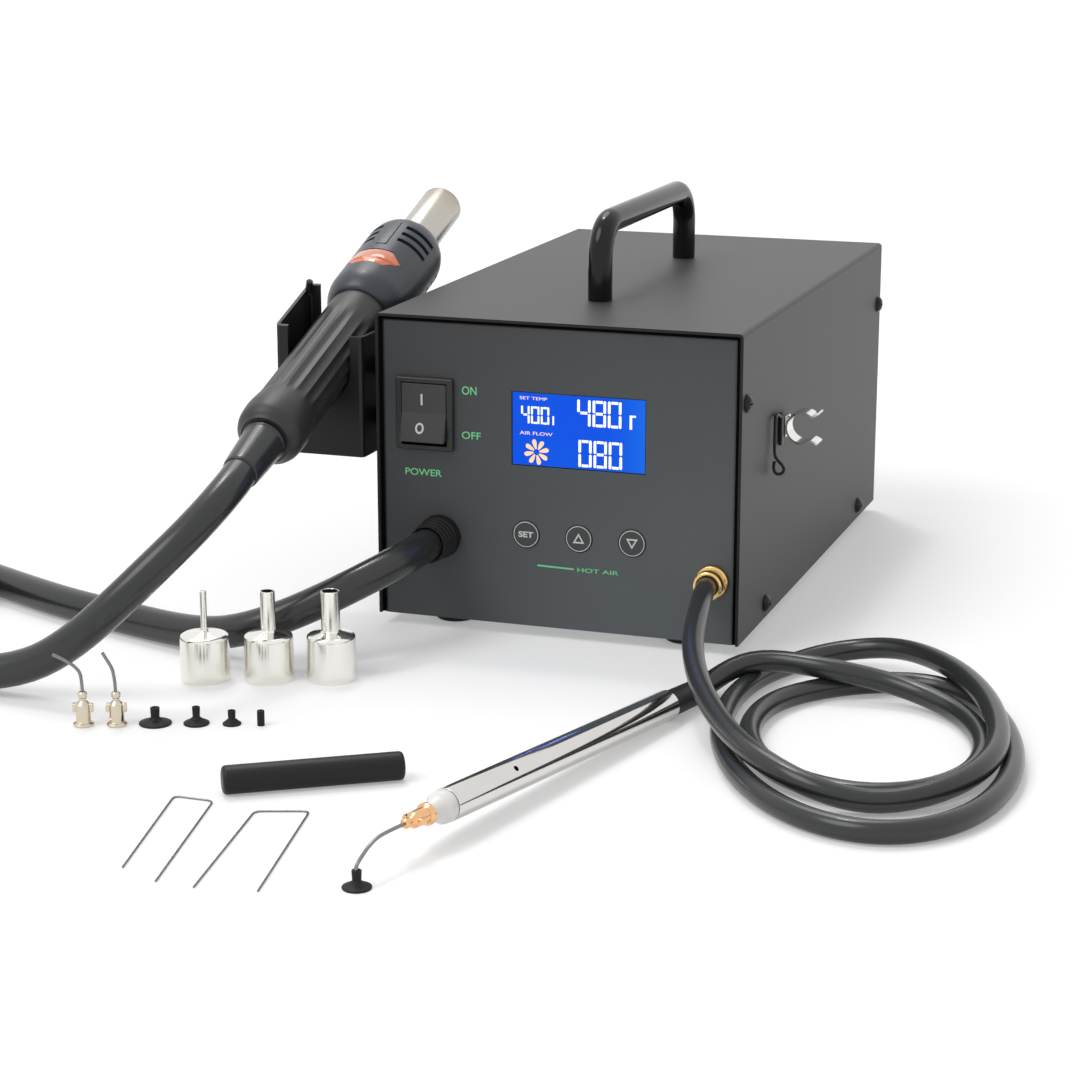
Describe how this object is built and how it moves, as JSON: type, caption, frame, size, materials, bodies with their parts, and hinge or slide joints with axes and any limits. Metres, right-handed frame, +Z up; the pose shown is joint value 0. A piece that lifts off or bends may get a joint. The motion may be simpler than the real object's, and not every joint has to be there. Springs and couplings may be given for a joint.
{
  "type": "rework soldering station",
  "caption": "Bench rework station: steel case with switch, display, keys and carry handle, hot-air handpiece in a side holder, vacuum pick-up pen on a coiled hose, loose tips.",
  "frame": {"origin": "on the bench, under the middle of the box round all pieces other than the two hoses", "axes": "+Z up, -Y towards the user (the case's control panel faces -Y), +X to the user's right"},
  "size_m": [0.6288, 0.569, 0.178],
  "materials": {
    "powder_coat": "satin charcoal powder coat",
    "panel_paint": "smooth satin charcoal paint",
    "zinc_steel": "zinc-plated sheet",
    "black_gloss": "gloss black coating",
    "black_plastic": "moulded, fine texture",
    "black_steel": "black satin coating",
    "black_rubber": "matt moulded",
    "hose_rubber": "smooth satin extrusion",
    "grip_plastic": "satin moulded",
    "head_plastic": "satin moulded, blue-grey",
    "bright_steel": "polished",
    "satin_steel": "satin, heat-worn",
    "brass": "turned",
    "ceramic": "fired ceramic",
    "orange_lens": "translucent orange",
    "white_plastic": "moulded",
    "circuit_board": "solder mask",
    "pump_casting": "cast housing"
  },
  "bodies": {
    "root": {"base_tray": "zinc_steel", "front_panel": "panel_paint", "rear_panel": "panel_paint", "cover": "powder_coat", "carry_handle": "black_gloss", "switch_housing": "black_plastic", "display_board": "circuit_board", "hose_gland": "black_rubber", "vacuum_fitting": "brass", "mains_inlet": "black_plastic", "air_pump": "pump_casting", "main_board": "circuit_board", "holder_bracket": "black_steel", "pen_clip": "bright_steel", "pen_hook": "black_steel", "pen_barrel": "bright_steel", "pen_nose": "white_plastic", "pen_collar": "black_rubber", "vacuum_hose_drop": "hose_rubber", "vacuum_hose_coil": "hose_rubber", "vacuum_hose_lead": "hose_rubber", "hot_hose_panel_run": "hose_rubber", "hot_hose_coil": "hose_rubber", "hot_hose_handpiece_run": "hose_rubber", "nozzle_1": "bright_steel", "nozzle_2": "bright_steel", "nozzle_3": "bright_steel", "needle_long": "bright_steel", "needle_short": "bright_steel", "cup_large": "black_rubber", "cup_medium": "black_rubber", "cup_small": "black_rubber", "tip_sleeve": "black_rubber", "pen_cup": "black_rubber", "pen_needle": "bright_steel", "black_rod": "black_rubber", "lifting_wire_1": "satin_steel", "lifting_wire_2": "satin_steel", "foot_front_left": "black_rubber", "foot_front_right": "black_rubber", "foot_rear_left": "black_rubber", "foot_rear_right": "black_rubber", "cover_screw_1": "black_steel", "cover_screw_2": "black_steel", "cover_screw_3": "black_steel", "cover_screw_4": "black_steel", "cover_screw_5": "black_steel", "cover_screw_6": "black_steel", "cover_screw_7": "black_steel", "cover_screw_8": "black_steel"},
    "rocker": {"switch_rocker": "black_plastic"},
    "set_key": {"key_set": "panel_paint"},
    "up_key": {"key_up": "panel_paint"},
    "down_key": {"key_down": "panel_paint"},
    "handpiece": {"handpiece_grip": "grip_plastic", "handpiece_head": "head_plastic", "indicator_lens": "orange_lens", "heat_pipe": "satin_steel", "heater_core": "ceramic", "hose_boot": "black_rubber"}
  },
  "joints": [
    {"name": "rocker_tilt", "type": "hinge", "parent": "root", "child": "rocker", "pos_m": [-0.03338, 0.01724, 0.094], "axis": [1, 0, 0], "range_deg": [0, 14]},
    {"name": "set_key_press", "type": "slide", "parent": "root", "child": "set_key", "axis": [0, 1, 0], "range_m": [0, 0.0005], "stiffness_N_per_m": 300, "springref_m": -0.0005},
    {"name": "up_key_press", "type": "slide", "parent": "root", "child": "up_key", "axis": [0, 1, 0], "range_m": [0, 0.0005], "stiffness_N_per_m": 300, "springref_m": -0.0005},
    {"name": "down_key_press", "type": "slide", "parent": "root", "child": "down_key", "axis": [0, 1, 0], "range_m": [0, 0.0005], "stiffness_N_per_m": 300, "springref_m": -0.0005},
    {"name": "handpiece_lift", "type": "slide", "parent": "root", "child": "handpiece", "axis": [0, 0, 1], "range_m": [0, 0.06]}
  ]
}
